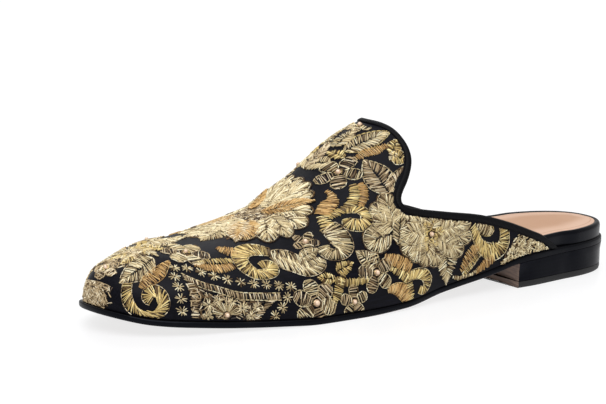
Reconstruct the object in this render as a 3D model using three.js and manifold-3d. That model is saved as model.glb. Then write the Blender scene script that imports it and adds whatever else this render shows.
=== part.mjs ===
// Backless slip-on shoe for the left foot: an upper with a bound topline, a leather sock
// on a covered footbed board, a thin outsole and a low heel.
// Millimetres, +Z up. The toe points to -X and the outer (lateral) side of the foot is -Y.
import * as THREE from 'three';
import ManifoldModule from 'manifold-3d';

const wasm = await ManifoldModule();
wasm.setup();

// Driving sizes
const shoeLength = 298; // outsole, from the back of the heel to the toe tip
const ballWidth = 98; // last, across the joints
const instepHeight = 90; // floor to the ridge of the last at the instep
const heelHeight = 14.4; // floor to the underside of the outsole at the back
const toeSpring = 9.5; // floor to the underside of the outsole at the toe tip
const soleThickness = 3;
const boardThickness = { heel: 6.7, forefoot: 2.8 };
const sockThickness = 1.2;
const sockBevel = 0.3;
const rimWidth = 2.2; // black rim around the sock
const rimOverSock = 0.4; // how far the rim stands above the sock
const topPieceThickness = 3.2; // wearing layer of the heel
const heelTaper = 0.8; // how far the sides of the heel draw in towards the floor
const wallThickness = 1.8; // upper and lining together
const bindingWidth = 3.2; // as it shows on the outside
const bindingThickness = 0.7;
const gap = 0.3; // between pieces that are glued or sewn together

// Places along the shoe, measured from the back of the heel
const tongueTop = 140; // where the middle of the tongue ends
const tailEnd = 46; // where the outer side of the upper runs out
const breastCorner = 73; // front corners of the heel
const breastDepth = 2.5; // how far the front of the heel curves in
const heelRound = 49; // length over which the back of the heel rounds in plan
const toeRound = 34; // length over which the toe rounds in plan
const toeRise = 20; // length over which the toe rises in profile
const planBluntness = 2.3; // of both ends seen from above, 2 is an ellipse
const toeBluntness = 2.5; // of the toe seen from the side
const toeMargin = 2; // outsole in front of the upper
const heelMargin = 0.6; // outsole behind the footbed

// Fineness of the curved forms
const stationCount = 38;
const girthCount = 34;
const plateCount = 40;
const toplineCount = 48;
const breastFacets = 240; // around the whole circle that cuts the front of the heel

// Sections of the last, from the heel to the toe.
// at: share of the length; lateral, medial: half widths at the sole, shares of the ball width;
// crown: ridge height, share of the instep height; lift: share of the heel height;
// spring: share of the toe spring; full: roundness of the section (2 is an ellipse);
// bulge: how far the wall swells past the sole, mm; ridge: shift of the ridge to the inner side, mm;
// welt: outsole past the upper, mm
const sections = tableOf(
  ['at', 'lateral', 'medial', 'crown', 'lift', 'spring', 'full', 'bulge', 'ridge', 'welt'],
  [0.00, 0.330, 0.325, 1.060, 1.00, 0.00, 2.3, 0.0, 0.0, 0.3],
  [0.12, 0.320, 0.317, 1.060, 0.98, 0.00, 2.3, 0.5, 0.0, 0.3],
  [0.22, 0.365, 0.310, 1.060, 0.93, 0.00, 2.2, 2.0, 1.0, 0.3],
  [0.31, 0.380, 0.280, 1.050, 0.58, 0.00, 2.0, 4.0, 2.0, 0.0],
  [0.41, 0.415, 0.275, 0.996, 0.32, 0.00, 1.8, 4.5, 3.0, 0.0],
  [0.50, 0.470, 0.325, 0.903, 0.06, 0.00, 1.8, 3.0, 4.0, 0.5],
  [0.59, 0.490, 0.405, 0.683, 0.00, 0.00, 1.9, 2.0, 5.0, 1.5],
  [0.67, 0.500, 0.460, 0.514, 0.00, 0.00, 2.0, 1.5, 5.0, 1.5],
  [0.74, 0.470, 0.470, 0.453, 0.00, 0.09, 2.1, 1.5, 4.0, 1.7],
  [0.81, 0.420, 0.430, 0.419, 0.00, 0.20, 2.2, 1.0, 3.0, 1.8],
  [0.88, 0.370, 0.362, 0.405, 0.00, 0.39, 2.2, 1.0, 1.0, 2.0],
  [0.94, 0.312, 0.300, 0.350, 0.00, 0.57, 2.2, 0.5, 0.0, 2.0],
  [1.00, 0.270, 0.250, 0.330, 0.00, 1.00, 2.2, 0.0, 0.0, 2.0],
);

// Topline seen from the side, from above the middle of the tongue to the tail on the outsole.
// back: behind the top of the tongue, mm; lateral, medial: heights above the floor, mm
const topline = tableOf(
  ['back', 'lateral', 'medial'],
  [-7, 88.5, 88.5],
  [0, 85.8, 85.8],
  [4.4, 84.5, 84.5],
  [7.5, 81.4, 81.4],
  [8.8, 75, 75],
  [7.4, 68.4, 67.6],
  [2.4, 61.2, 59.4],
  [-3.2, 55.2, 53],
  [-5.2, 51.4, 49],
  [-3.6, 48.7, 46.4],
  [4, 46.6, 44.2],
  [22, 43.1, 40],
  [42, 39.4, 34.6],
  [60, 33.8, 28.6],
  [76, 27.4, 23.4],
  [84, 23.9, 20.9],
  [97, 15, 13.4],
);

// Edge of the outsole: inset from its widest line, depth below its top, mm
const soleEdge = tableOf(
  ['inset', 'depth'],
  [0.5, 0],
  [0, 0.8],
  [0, soleThickness - 1],
  [0.9, soleThickness],
);

// Rounded rim of the footbed board: inset from its widest line, depth below its top, mm
const rimEdge = tableOf(['inset', 'depth'], [1.4, 0], [0.4, 0.7], [0, 1.8]);
const rimFootInset = 0.3;

// How far the footbed board stays inside the last, mm, at distances from the heel:
// nearly flush around the heel, and inside the wall of the upper in front of its tails
const boardInsets = tableOf(
  ['at', 'inset'],
  [0, 0.4],
  [tailEnd - 16, 0.4],
  [tailEnd - 3, wallThickness + gap],
  [shoeLength, wallThickness + gap],
);
const boardThins = { from: 0.24 * shoeLength, to: 0.5 * shoeLength };

// Rows with named columns: the first list names them
function tableOf(names, ...rows) {
  return rows.map((row) => Object.fromEntries(names.map((name, i) => [name, row[i]])));
}

// Smooth curve through one column of a table, without overshoot between its rows
function columnOf(rows, key) {
  const at = rows.map((row) => row.at);
  const value = rows.map((row) => row[key]);
  const last = at.length - 1;
  const rise = at.slice(1).map((end, i) => (value[i + 1] - value[i]) / (end - at[i]));
  const slope = value.map((_, i) => {
    if (i === 0) return rise[0];
    if (i === last) return rise[last - 1];
    return rise[i - 1] * rise[i] <= 0 ? 0 : 2 / (1 / rise[i - 1] + 1 / rise[i]);
  });
  return (x) => {
    const found = at.findIndex((start) => start > x);
    const i = Math.max(0, (found < 0 ? last : found) - 1);
    const span = at[i + 1] - at[i];
    const s = THREE.MathUtils.clamp((x - at[i]) / span, 0, 1);
    const steep = span * (s * (1 - s) * (1 - s) * slope[i] - s * s * (1 - s) * slope[i + 1]);
    return value[i] + (value[i + 1] - value[i]) * s * s * (3 - 2 * s) + steep;
  };
}

const share = {};
for (const key of Object.keys(sections[0])) share[key] = columnOf(sections, key);
const at = (key, fromHeel) => share[key](fromHeel / shoeLength);
const boardInset = columnOf(boardInsets, 'inset');

// Heights of the outsole and of what lies on it, at a distance from the heel
const soleUnder = (t) => heelHeight * at('lift', t) + toeSpring * at('spring', t);
const soleTop = (t) => soleUnder(t) + soleThickness;
const boardTop = (t) => {
  const forward = THREE.MathUtils.smoothstep(t, boardThins.from, boardThins.to);
  return soleTop(t) + gap + THREE.MathUtils.lerp(boardThickness.heel, boardThickness.forefoot, forward);
};

// Rounds an end: 0 at the tip, 1 once the distance from the tip reaches the given length
function rounding(distance, length, bluntness = 2) {
  const left = 1 - THREE.MathUtils.clamp(distance / length, 0, 1);
  return (1 - left ** bluntness) ** (1 / bluntness);
}

const toX = (t) => shoeLength / 2 - t;
const lastTip = shoeLength - toeMargin;

// Half width of the last at the sole, grown sideways and at both ends
function halfWidth(side, t, grow) {
  const back = rounding(t - heelMargin + grow, heelRound, planBluntness);
  const front = rounding(lastTip + grow - t, toeRound, planBluntness);
  return (ballWidth * at(side, t) + grow) * back * front;
}

// Point of the last's surface: angle 0 is the outer sole edge, a half turn the inner one
function lastPoint(t, angle, grow) {
  const side = angle < Math.PI / 2 ? 'lateral' : 'medial';
  const nose = lastTip + grow - t;
  const rise = (instepHeight * at('crown', t) + grow - soleTop(t)) * rounding(nose, toeRise, toeBluntness);
  const power = 2 / at('full', t);
  const across = Math.cos(angle);
  const reach = halfWidth(side, t, grow) * Math.abs(across) ** power * Math.sign(across);
  const swell = at('bulge', t) * Math.sin(2 * angle) * rounding(nose, toeRound);
  const lean = at('ridge', t) * Math.sin(angle) ** 2;
  const up = Math.max(0, Math.sin(angle)) ** power;
  return new THREE.Vector3(toX(t), lean - reach - swell, soleTop(t) + gap + rise * up);
}

// Steps from 0 to 1, closer together near the ends that round off; no step is quite at such an end
const easeBoth = (i, count) => (1 - Math.cos((Math.PI * (i + 0.25)) / (count + 0.5))) / 2;
const easeEnd = (i, count) => Math.sin((Math.PI / 2) * (i / (count + 0.16)));

// Closed solid through rings of points, each end drawn to one point
function loft(rings, firstPoint, finalPoint) {
  const around = rings[0].length;
  const points = [...rings.flat(), firstPoint, finalPoint];
  const first = points.length - 2;
  const final = points.length - 1;
  const lastRing = (rings.length - 1) * around;
  const faces = [];
  for (let j = 0; j < around; j += 1) {
    const k = (j + 1) % around;
    for (let ring = 0; ring < lastRing; ring += around) {
      faces.push(ring + j, ring + around + j, ring + k);
      faces.push(ring + k, ring + around + j, ring + around + k);
    }
    faces.push(first, j, k);
    faces.push(final, lastRing + k, lastRing + j);
  }
  const geometry = new THREE.BufferGeometry().setFromPoints(points);
  geometry.setIndex(faces);
  return geometry;
}

// Indexed geometry with one vertex for each place
function mergedPositions(geometry) {
  const { position } = (geometry.index ? geometry.toNonIndexed() : geometry).attributes;
  const places = new Map();
  const points = [];
  const faces = [];
  for (let i = 0; i < position.count; i += 1) {
    const point = new THREE.Vector3().fromBufferAttribute(position, i);
    const key = point.toArray().map((value) => value.toFixed(4)).join();
    if (!places.has(key)) {
      places.set(key, points.length);
      points.push(point);
    }
    faces.push(places.get(key));
  }
  const merged = new THREE.BufferGeometry().setFromPoints(points);
  merged.setIndex(faces);
  return merged;
}

// Solid for joining and cutting, its faces turned outwards
function solidOf(geometry) {
  const vertProperties = new Float32Array(geometry.attributes.position.array);
  const triVerts = new Uint32Array(geometry.index.array);
  const corner = (i) => new THREE.Vector3().fromArray(vertProperties, 3 * triVerts[i]);
  let volume = 0;
  for (let i = 0; i < triVerts.length; i += 3) {
    volume += corner(i).dot(corner(i + 1).cross(corner(i + 2)));
  }
  if (volume < 0) triVerts.reverse();
  return new wasm.Manifold(new wasm.Mesh({ numProp: 3, vertProperties, triVerts }));
}

function geometryOf(solid) {
  const mesh = solid.getMesh();
  const geometry = new THREE.BufferGeometry();
  geometry.setAttribute('position', new THREE.BufferAttribute(mesh.vertProperties, 3));
  geometry.setIndex(new THREE.BufferAttribute(mesh.triVerts, 1));
  return geometry;
}

// The last as a solid, grown by a distance; a skirt carries its sides down past the sole line
const behindTail = 14;
function lastForm(grow, skirt) {
  const from = tailEnd - behindTail;
  const to = lastTip + grow;
  const rings = [];
  for (let i = 0; i <= stationCount; i += 1) {
    const t = THREE.MathUtils.lerp(from, to, easeEnd(i, stationCount));
    const ring = [];
    for (let j = 0; j <= girthCount; j += 1) ring.push(lastPoint(t, (Math.PI * j) / girthCount, grow));
    if (skirt > 0) {
      const drop = new THREE.Vector3(0, 0, -skirt);
      ring.unshift(ring[0].clone().add(drop));
      ring.push(ring.at(-1).clone().add(drop));
    }
    rings.push(ring);
  }
  const backMiddle = new THREE.Vector3(toX(from), 0, instepHeight / 2);
  const tip = new THREE.Vector3(toX(to), 0, soleTop(to) + gap - skirt / 2);
  return solidOf(loft(rings, backMiddle, tip));
}

// Wall between two growths of the last, open underneath; a skirt carries it down past the sole line
const skirtDepth = 3;
function shell(outer, inner, skirt = 0) {
  return lastForm(outer, skirt).subtract(lastForm(inner, skirt + skirtDepth));
}

// Points of the topline on one side, moved into the upper by a distance
function toplinePoints(side, inset) {
  const curve = new THREE.SplineCurve(
    topline.map((row) => new THREE.Vector2(toX(tongueTop) + row.back, row[side])),
  );
  const points = [];
  for (let i = 0; i <= toplineCount; i += 1) {
    const along = curve.getTangentAt(i / toplineCount);
    const inward = new THREE.Vector2(along.y, -along.x);
    points.push(curve.getPointAt(i / toplineCount).addScaledVector(inward, inset));
  }
  return points;
}

// Prism over a side-view outline, on the outer or the inner half of the shoe
function sidePrism(outline, side) {
  const geometry = new THREE.ExtrudeGeometry(new THREE.Shape(outline), {
    depth: ballWidth, bevelEnabled: false, curveSegments: 1,
  });
  geometry.rotateX(Math.PI / 2);
  if (side === 'medial') geometry.translate(0, ballWidth, 0);
  return solidOf(mergedPositions(geometry));
}

// Everything behind and above the topline, which is moved into the upper by a distance
const leanAbove = 0.3; // forward slope of the cut above the tongue
function behindTopline(inset) {
  const far = shoeLength;
  const halves = ['lateral', 'medial'].map((side) => {
    const edge = toplinePoints(side, inset);
    return sidePrism([
      ...edge,
      new THREE.Vector2(edge.at(-1).x, -far),
      new THREE.Vector2(far, -far),
      new THREE.Vector2(far, far),
      new THREE.Vector2(edge[0].x - (far - edge[0].y) * leanAbove, far),
    ], side);
  });
  return halves[0].add(halves[1]);
}

// Flat piece along the shoe, as far forward as it is given or to the toe.
// Its edge rows run from the top to the bottom: how far each grows past the last, and its height
const capLength = 0.25; // how far a rounded end reaches past its last step
function plate(edgeRows, front) {
  const rings = [];
  for (let i = 0; i <= plateCount; i += 1) {
    const edgePoint = (side, row) => {
      const stop = front ?? lastTip + row.grow(shoeLength);
      const t = THREE.MathUtils.lerp(heelMargin - row.grow(0), stop, easeBoth(i, plateCount));
      const y = halfWidth(side, t, row.grow(t));
      return new THREE.Vector3(toX(t), side === 'lateral' ? -y : y, row.height(t));
    };
    const down = edgeRows.map((row) => edgePoint('lateral', row));
    const up = edgeRows.map((row) => edgePoint('medial', row)).reverse();
    rings.push([...down, ...up]);
  }
  const middleOf = (ring) => new THREE.Box3().setFromPoints(ring).getCenter(new THREE.Vector3());
  const first = middleOf(rings[0]);
  const final = middleOf(rings.at(-1));
  first.x += capLength;
  if (front === undefined) final.x -= capLength;
  return solidOf(loft(rings, first, final));
}

// Outsole: full length, its edge a little rounded
function outsole() {
  return plate(soleEdge.map(({ inset, depth }) => ({
    grow: (t) => at('welt', t) - inset,
    height: (t) => soleTop(t) - depth,
  })));
}

// Covered footbed board, grown by a distance: its rounded black rim shows around the heel
function board(grown) {
  const rim = rimEdge.map(({ inset, depth }) => ({
    grow: (t) => grown - boardInset(t) - inset,
    height: (t) => boardTop(t) + grown - depth,
  }));
  const foot = {
    grow: (t) => grown - boardInset(t) - rimFootInset,
    height: (t) => soleTop(t) + gap - grown,
  };
  return plate([...rim, foot]);
}

// Leather sock let into the footbed board; grown and made taller it cuts its own seat
function sock(grown, taller) {
  const inside = (t) => grown - boardInset(t) - rimWidth;
  const top = (t) => boardTop(t) - rimOverSock + taller;
  return plate([
    { grow: (t) => inside(t) - sockBevel, height: top },
    { grow: inside, height: (t) => top(t) - sockBevel },
    { grow: inside, height: (t) => boardTop(t) - rimOverSock - sockThickness - grown },
  ]);
}

// Part of the heel between two heights, its front curved in
function heelPart(upperEdge, lowerEdge) {
  const halfChord = ballWidth / 3;
  const radius = (halfChord ** 2 + breastDepth ** 2) / (2 * breastDepth);
  const breast = new THREE.CylinderGeometry(radius, radius, 4 * heelHeight, breastFacets);
  breast.rotateX(Math.PI / 2);
  breast.translate(toX(breastCorner - breastDepth + radius), 0, heelHeight);
  const block = plate([upperEdge, lowerEdge], breastCorner + 2 * breastDepth);
  return block.subtract(solidOf(mergedPositions(breast)));
}

// Pieces
const seam = bindingThickness + gap;
const upperWall = shell(0, -wallThickness).subtract(behindTopline(seam + gap));

const bindingBand = shell(seam, -wallThickness - seam)
  .subtract(behindTopline(0))
  .intersect(behindTopline(bindingWidth))
  .subtract(shell(gap, -wallThickness - gap, skirtDepth).subtract(behindTopline(seam)))
  .subtract(board(2 * gap));

const heelFlush = at('welt', 0);
const heelBlock = heelPart(
  { grow: () => heelFlush, height: (t) => soleUnder(t) - gap },
  { grow: () => heelFlush - heelTaper, height: () => topPieceThickness + gap },
);
const topPiece = heelPart(
  { grow: () => heelFlush - heelTaper, height: () => topPieceThickness },
  { grow: () => -heelTaper, height: () => 0 },
);

const satin = { color: 0x0b0b10, roughness: 0.45, metalness: 0 };
const binding = { color: 0x101014, roughness: 0.55, metalness: 0 };
const polishedBlack = { color: 0x0d0d12, roughness: 0.25, metalness: 0 };
const soleLeather = { color: 0x14110f, roughness: 0.4, metalness: 0 };
const sockLeather = { color: 0xd9ad8c, roughness: 0.5, metalness: 0 };
const rubber = { color: 0x0a0a0b, roughness: 0.6, metalness: 0 };

const shoe = new THREE.Group();
function place(name, solid, look) {
  const mesh = new THREE.Mesh(geometryOf(solid), new THREE.MeshStandardMaterial(look));
  mesh.name = name;
  shoe.add(mesh);
}
place('upper', upperWall, satin);
place('topline_binding', bindingBand, binding);
place('insole_sock', sock(0, 0), sockLeather);
place('insole_board', board(0).subtract(sock(gap, boardThickness.heel)), polishedBlack);
place('outsole', outsole(), soleLeather);
place('heel_block', heelBlock, polishedBlack);
place('heel_top_piece', topPiece, rubber);

// Origin on the floor, under the middle of the shoe
const middle = new THREE.Box3().setFromObject(shoe).getCenter(new THREE.Vector3());
shoe.position.set(-middle.x, -middle.y, 0);

export default shoe;
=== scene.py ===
import math

import bpy
import numpy as np
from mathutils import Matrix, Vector
from mathutils.bvhtree import BVHTree


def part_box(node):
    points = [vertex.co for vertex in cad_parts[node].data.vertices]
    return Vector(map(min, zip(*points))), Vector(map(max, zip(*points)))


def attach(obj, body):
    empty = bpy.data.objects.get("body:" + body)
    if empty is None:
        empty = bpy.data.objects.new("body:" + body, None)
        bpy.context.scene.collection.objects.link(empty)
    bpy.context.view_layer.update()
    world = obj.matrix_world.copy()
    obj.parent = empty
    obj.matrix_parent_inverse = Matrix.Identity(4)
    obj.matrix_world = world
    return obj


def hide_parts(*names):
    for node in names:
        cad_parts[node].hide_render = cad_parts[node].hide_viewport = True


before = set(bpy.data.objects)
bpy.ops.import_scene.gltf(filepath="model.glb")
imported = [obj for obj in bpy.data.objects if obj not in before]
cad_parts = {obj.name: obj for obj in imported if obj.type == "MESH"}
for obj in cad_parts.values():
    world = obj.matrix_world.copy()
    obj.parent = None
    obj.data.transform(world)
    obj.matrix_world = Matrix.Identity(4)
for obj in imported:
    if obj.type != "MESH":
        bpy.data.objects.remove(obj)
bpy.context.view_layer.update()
scene = bpy.context.scene
seeded = np.random.default_rng(11)
mm = .001
bothSides = ("outer", "inner")
print("frame loaded:", ", ".join(sorted(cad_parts)))


# the last, in millimetres: t runs from the back of the heel to the toe, and the outer side is -y
last = {
    "length": 298, "ball": 98, "instep": 90, "heelHeight": 14.4, "toeSpring": 9.5,
    "sole": 3, "wall": 1.8, "gap": .3, "toeMargin": 2, "heelMargin": .6, "tailStart": 32, "tailEnd": 46,
    "toeRound": 34, "toeRise": 20, "heelRound": 49, "planBlunt": 2.3, "toeBlunt": 2.5,
    "boardHeel": 6.7, "boardFront": 2.8, "boardThins": (.24, .5),
}
sectionNames = "at lateral medial crown lift spring full bulge ridge welt".split()
sectionRows = [
    (0.00, .330, .325, 1.060, 1.00, .00, 2.3, 0.0, 0, .3),
    (0.12, .320, .317, 1.060, .98, .00, 2.3, 0.5, 0, .3),
    (0.22, .365, .310, 1.060, .93, .00, 2.2, 2.0, 1, .3),
    (0.31, .380, .280, 1.050, .58, .00, 2.0, 4.0, 2, .0),
    (0.41, .415, .275, .996, .32, .00, 1.8, 4.5, 3, .0),
    (0.50, .470, .325, .903, .06, .00, 1.8, 3.0, 4, .5),
    (0.59, .490, .405, .683, .00, .00, 1.9, 2.0, 5, 1.5),
    (0.67, .500, .460, .514, .00, .00, 2.0, 1.5, 5, 1.5),
    (0.74, .470, .470, .453, .00, .09, 2.1, 1.5, 4, 1.7),
    (0.81, .420, .430, .419, .00, .20, 2.2, 1.0, 3, 1.8),
    (0.88, .370, .362, .405, .00, .39, 2.2, 1.0, 1, 2.0),
    (0.94, .312, .300, .350, .00, .57, 2.2, 0.5, 0, 2.0),
    (1.00, .270, .250, .330, .00, 1.00, 2.2, 0.0, 0, 2.0),
]
lastTip = last["length"] - last["toeMargin"]


def curveThrough(xs, ys):  # smooth line through a column, with no overshoot between its rows
    xs, ys = np.asarray(xs, float), np.asarray(ys, float)
    rise = np.diff(ys) / np.diff(xs)
    slope = np.concatenate([rise[:1], np.zeros(len(xs) - 2), rise[-1:]])
    for i in range(1, len(xs) - 1):
        if rise[i - 1] * rise[i] > 0:
            slope[i] = 2 / (1 / rise[i - 1] + 1 / rise[i])

    def value(x):
        i = np.clip(np.searchsorted(xs, x, side="right") - 1, 0, len(xs) - 2)
        span = xs[i + 1] - xs[i]
        s = np.clip((x - xs[i]) / span, 0, 1)
        steep = span * (s * (1 - s) ** 2 * slope[i] - s * s * (1 - s) * slope[i + 1])
        return ys[i] + (ys[i + 1] - ys[i]) * s * s * (3 - 2 * s) + steep

    return value


sectionColumns = dict(zip(sectionNames, zip(*sectionRows)))
sectionCurves = {name: curveThrough(sectionColumns["at"], column) for name, column in sectionColumns.items()}


def section(name, t):
    return sectionCurves[name](np.asarray(t, float) / last["length"])


def smoothStep(x, low, high):
    s = np.clip((np.asarray(x, float) - low) / (high - low), 0, 1)
    return s * s * (3 - 2 * s)


def xAt(t):  # the frame's x of a station; the same sum leads back
    return last["length"] / 2 - t


def soleUnder(t):
    return last["heelHeight"] * section("lift", t) + last["toeSpring"] * section("spring", t)


def soleTop(t):
    return soleUnder(t) + last["sole"]


def boardTop(t):
    forward = smoothStep(np.asarray(t, float) / last["length"], *last["boardThins"])
    return soleTop(t) + last["gap"] + last["boardHeel"] + (last["boardFront"] - last["boardHeel"]) * forward


def rounding(distance, length, bluntness=2):
    left = 1 - np.clip(distance / length, 0, 1)
    return (1 - left ** bluntness) ** (1 / bluntness)


def halfWidth(side, t, grow):
    back = rounding(t - last["heelMargin"] + grow, last["heelRound"], last["planBlunt"])
    front = rounding(lastTip + grow - t, last["toeRound"], last["planBlunt"])
    return (last["ball"] * section(side, t) + grow) * back * front


def lastPoint(t, angle, grow=0.):  # angle 0 is the outer sole edge, pi the inner one
    t, angle = np.broadcast_arrays(np.asarray(t, float), np.asarray(angle, float))
    nose = lastTip + grow - t
    rise = last["instep"] * section("crown", t) + grow - soleTop(t)
    rise = rise * rounding(nose, last["toeRise"], last["toeBlunt"])
    power = 2 / section("full", t)
    across = np.cos(angle)
    half = np.where(angle < math.pi / 2, halfWidth("lateral", t, grow), halfWidth("medial", t, grow))
    reach = half * np.abs(across) ** power * np.sign(across)
    swell = section("bulge", t) * np.sin(2 * angle) * rounding(nose, last["toeRound"])
    lean = section("ridge", t) * np.sin(angle) ** 2
    up = np.maximum(0, np.sin(angle)) ** power
    y, z = lean - reach - swell, soleTop(t) + last["gap"] + rise * up
    return np.stack([xAt(t), y, z], -1)


def unit(vectors):
    return vectors / np.maximum(np.linalg.norm(vectors, axis=-1, keepdims=True), 1e-9)


def lastNormal(t, angle):
    dt, da = .15, .003
    back = lastPoint(t - dt, angle) - lastPoint(np.minimum(t + dt, lastTip - .02), angle)
    up = lastPoint(t, np.minimum(angle + da, math.pi)) - lastPoint(t, np.maximum(angle - da, 0))
    return unit(np.cross(back, up))


# the skin of the upper unrolled: t along the shoe, g up from the outer sole edge over the ridge
chartT = np.linspace(last["tailStart"], lastTip - .5, 300)
chartAngle = np.linspace(0, math.pi, 241)
chartRings = lastPoint(chartT[:, None], chartAngle[None, :])
chartGirth = np.cumsum(np.linalg.norm(np.diff(chartRings, axis=1), axis=2), axis=1)
chartGirth = np.concatenate([np.zeros((len(chartT), 1)), chartGirth], axis=1)
wholeGirth, ridgeGirth = chartGirth[:, -1], chartGirth[:, len(chartAngle) // 2]
girthShares = np.linspace(0, 1, 201)
chartAngles = np.array([np.interp(girthShares * row[-1], row, chartAngle) for row in chartGirth])


def lookUp(grid, t, share):
    i = np.clip((t - chartT[0]) / (chartT[1] - chartT[0]), 0, len(chartT) - 1.001)
    j = np.clip(share, 0, 1) * (grid.shape[1] - 1.001)
    i0, j0 = i.astype(int), j.astype(int)
    u, v = i - i0, j - j0
    near = grid[i0, j0] * (1 - u) + grid[i0 + 1, j0] * u
    far = grid[i0, j0 + 1] * (1 - u) + grid[i0 + 1, j0 + 1] * u
    return near * (1 - v) + far * v


# soft troughs and ridges of the sewn upper: from and to on the unrolled skin, width and height in mm
creases = [
    {"from": (204, 18), "to": (193, 66), "width": 7, "height": -.45},
    {"from": (193, 24), "to": (184, 70), "width": 6, "height": .25},
    {"from": (183, 22), "to": (172, 64), "width": 7, "height": -.4},
    {"from": (146, 28), "to": (88, 8), "width": 9, "height": -.5},
    {"from": (152, 54), "to": (148, 88), "width": 7, "height": -.4},
    {"from": (262, 24), "to": (232, 46), "width": 9, "height": -.3},
]


def creaseHeight(t, g):
    height = np.zeros(np.broadcast(t, g).shape)
    for crease in creases:
        start, end = np.array(crease["from"], float), np.array(crease["to"], float)
        way = end - start
        for across in (g, np.interp(t, chartT, wholeGirth) - g):  # both sides of the shoe
            s = ((t - start[0]) * way[0] + (across - start[1]) * way[1]) / (way @ way)
            held = np.clip(s, 0, 1)
            off = np.hypot(t - start[0] - held * way[0], across - start[1] - held * way[1])
            height = height + crease["height"] * np.exp(-(off / crease["width"]) ** 2)
    return height


def skinAt(t, angle):  # place and direction outwards on the creased outside of the upper
    normal = lastNormal(t, angle)
    height = creaseHeight(t, lookUp(chartGirth, t, angle / math.pi))
    return lastPoint(t, angle) + normal * height[..., None], normal


# the frame has its origin under the middle of the outsole
soleLow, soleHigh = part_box("outsole")
forepart = np.linspace(100, 260, 321)  # holds the widest places of both edges
ownMiddle = (halfWidth("medial", forepart, section("welt", forepart)).max()
             - halfWidth("lateral", forepart, section("welt", forepart)).max()) / 2
shift = np.array([(soleLow.x + soleHigh.x) / 2 / mm, (soleLow.y + soleHigh.y) / 2 / mm - ownMiddle, 0])
print("last worked out, moved sideways by", np.round(shift, 2), "mm")


class Wire:  # a socket of a material, so that shader maths reads as maths
    def __init__(self, tree, socket=None):
        self.tree, self.socket = tree, socket

    def node(self, kind, settings=(), sockets=(), out=0):
        made = self.tree.nodes.new(kind)
        for key, value in dict(settings).items():
            setattr(made, key, value)
        for key, value in dict(sockets).items():
            if isinstance(value, Wire):
                self.tree.links.new(value.socket, made.inputs[key])
            else:
                made.inputs[key].default_value = value
        return Wire(self.tree, made.outputs[out])

    def maths(self, operation, first, second):
        return self.node("ShaderNodeMath", {"operation": operation}, {0: first, 1: second})

    def __add__(self, other):
        return self.maths("ADD", self, other)

    def __sub__(self, other):
        return self.maths("SUBTRACT", self, other)

    def __mul__(self, other):
        return self.maths("MULTIPLY", self, other)

    def __rsub__(self, other):
        return self.maths("SUBTRACT", other, self)

    __radd__, __rmul__ = __add__, __mul__

    def between(self, low, high):  # 0 below low, 1 above high
        return self.node("ShaderNodeMapRange", {"interpolation_type": "SMOOTHSTEP"},
                         {"Value": self, "From Min": low, "From Max": high}, "Result")

    def wave(self, length):
        return self.maths("SINE", self * (2 * math.pi / length), 0)

    def mix(self, one, other):  # from one colour to the other
        return self.node("ShaderNodeMix", {"data_type": "RGBA"}, {0: self, 6: one, 7: other}, 2)

    def stretch(self, scales):
        return self.node("ShaderNodeVectorMath", {"operation": "MULTIPLY"}, {0: self, 1: scales})

    def noise(self, scale, detail=3, roughness=.5):
        return self.node("ShaderNodeTexNoise", {}, {"Vector": self, "Scale": scale, "Detail": detail,
                                                    "Roughness": roughness}, "Fac")

    def value(self, name):  # a number held by the points
        return self.node("ShaderNodeAttribute", {"attribute_name": name}, {}, "Fac")

    def bump(self, strength, distance):
        return self.node("ShaderNodeBump", {}, {"Strength": strength, "Distance": distance, "Height": self},
                         "Normal")


def newMaterial(name, fixed):  # the material, and a wire with the place on the object
    material = bpy.data.materials.new(name)
    material.use_nodes = True
    for key, value in fixed.items():
        material.node_tree.nodes["Principled BSDF"].inputs[key].default_value = value
    return material, Wire(material.node_tree).node("ShaderNodeTexCoord", {}, {}, "Object")


def dress(material, looks):
    shader = material.node_tree.nodes["Principled BSDF"]
    for key, wire in looks.items():
        material.node_tree.links.new(wire.socket, shader.inputs[key])


def colour(*levels):  # sRGB, 0 to 255
    shares = [level / 255 for level in levels]
    return tuple(s / 12.92 if s < .04045 else ((s + .055) / 1.055) ** 2.4 for s in shares) + (1,)


blueGloss = (.7, .78, 1, 1)  # tint of the light on polished black


def newMesh(name, points, faces, materials, parts=None, values=()):
    mesh = bpy.data.meshes.new(name)
    mesh.from_pydata(((np.asarray(points) + shift) * mm).tolist(), [], faces)
    for material in materials:
        mesh.materials.append(material)
    if parts is not None:
        mesh.polygons.foreach_set("material_index", np.asarray(parts, np.int32))
    for key, numbers in dict(values).items():
        held = mesh.attributes.new(key, "FLOAT", "POINT")
        held.data.foreach_set("value", np.asarray(numbers, np.float32))
    mesh.validate()
    return mesh


def placePiece(mesh, replaced, sharp):
    mesh.shade_smooth()
    mesh.set_sharp_from_angle(angle=math.radians(sharp))
    piece = bpy.data.objects.new(mesh.name, mesh)
    scene.collection.objects.link(piece)
    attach(piece, "root")
    for node in replaced:
        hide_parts(node)
    print(mesh.name, len(mesh.polygons), "faces")


def addPiece(name, points, faces, materials, replaced=(), parts=None, values=(), sharp=40):
    placePiece(newMesh(name, points, faces, materials, parts, values), replaced, sharp)


# upper: the satin outside, the lining inside, cut along the topline
satinLook = {"dark": colour(4, 4, 9), "light": colour(13, 13, 22), "weave": (60, 1500, 1500), "glow": 140}
satin, place = newMaterial("satin", {
    "Specular IOR Level": .08, "Sheen Weight": .012, "Sheen Roughness": .4, "Sheen Tint": (.6, .65, .9, 1)})
floats = place.stretch(satinLook["weave"]).noise(1, 2)
glow = place.noise(satinLook["glow"], 2)
lit = (floats * .7 + glow * .3).between(.35, .75)
dress(satin, {"Base Color": lit.mix(satinLook["dark"], satinLook["light"]), "Roughness": floats * .2 + .32,
              "Normal": floats.bump(.25, .0002)})

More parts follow.
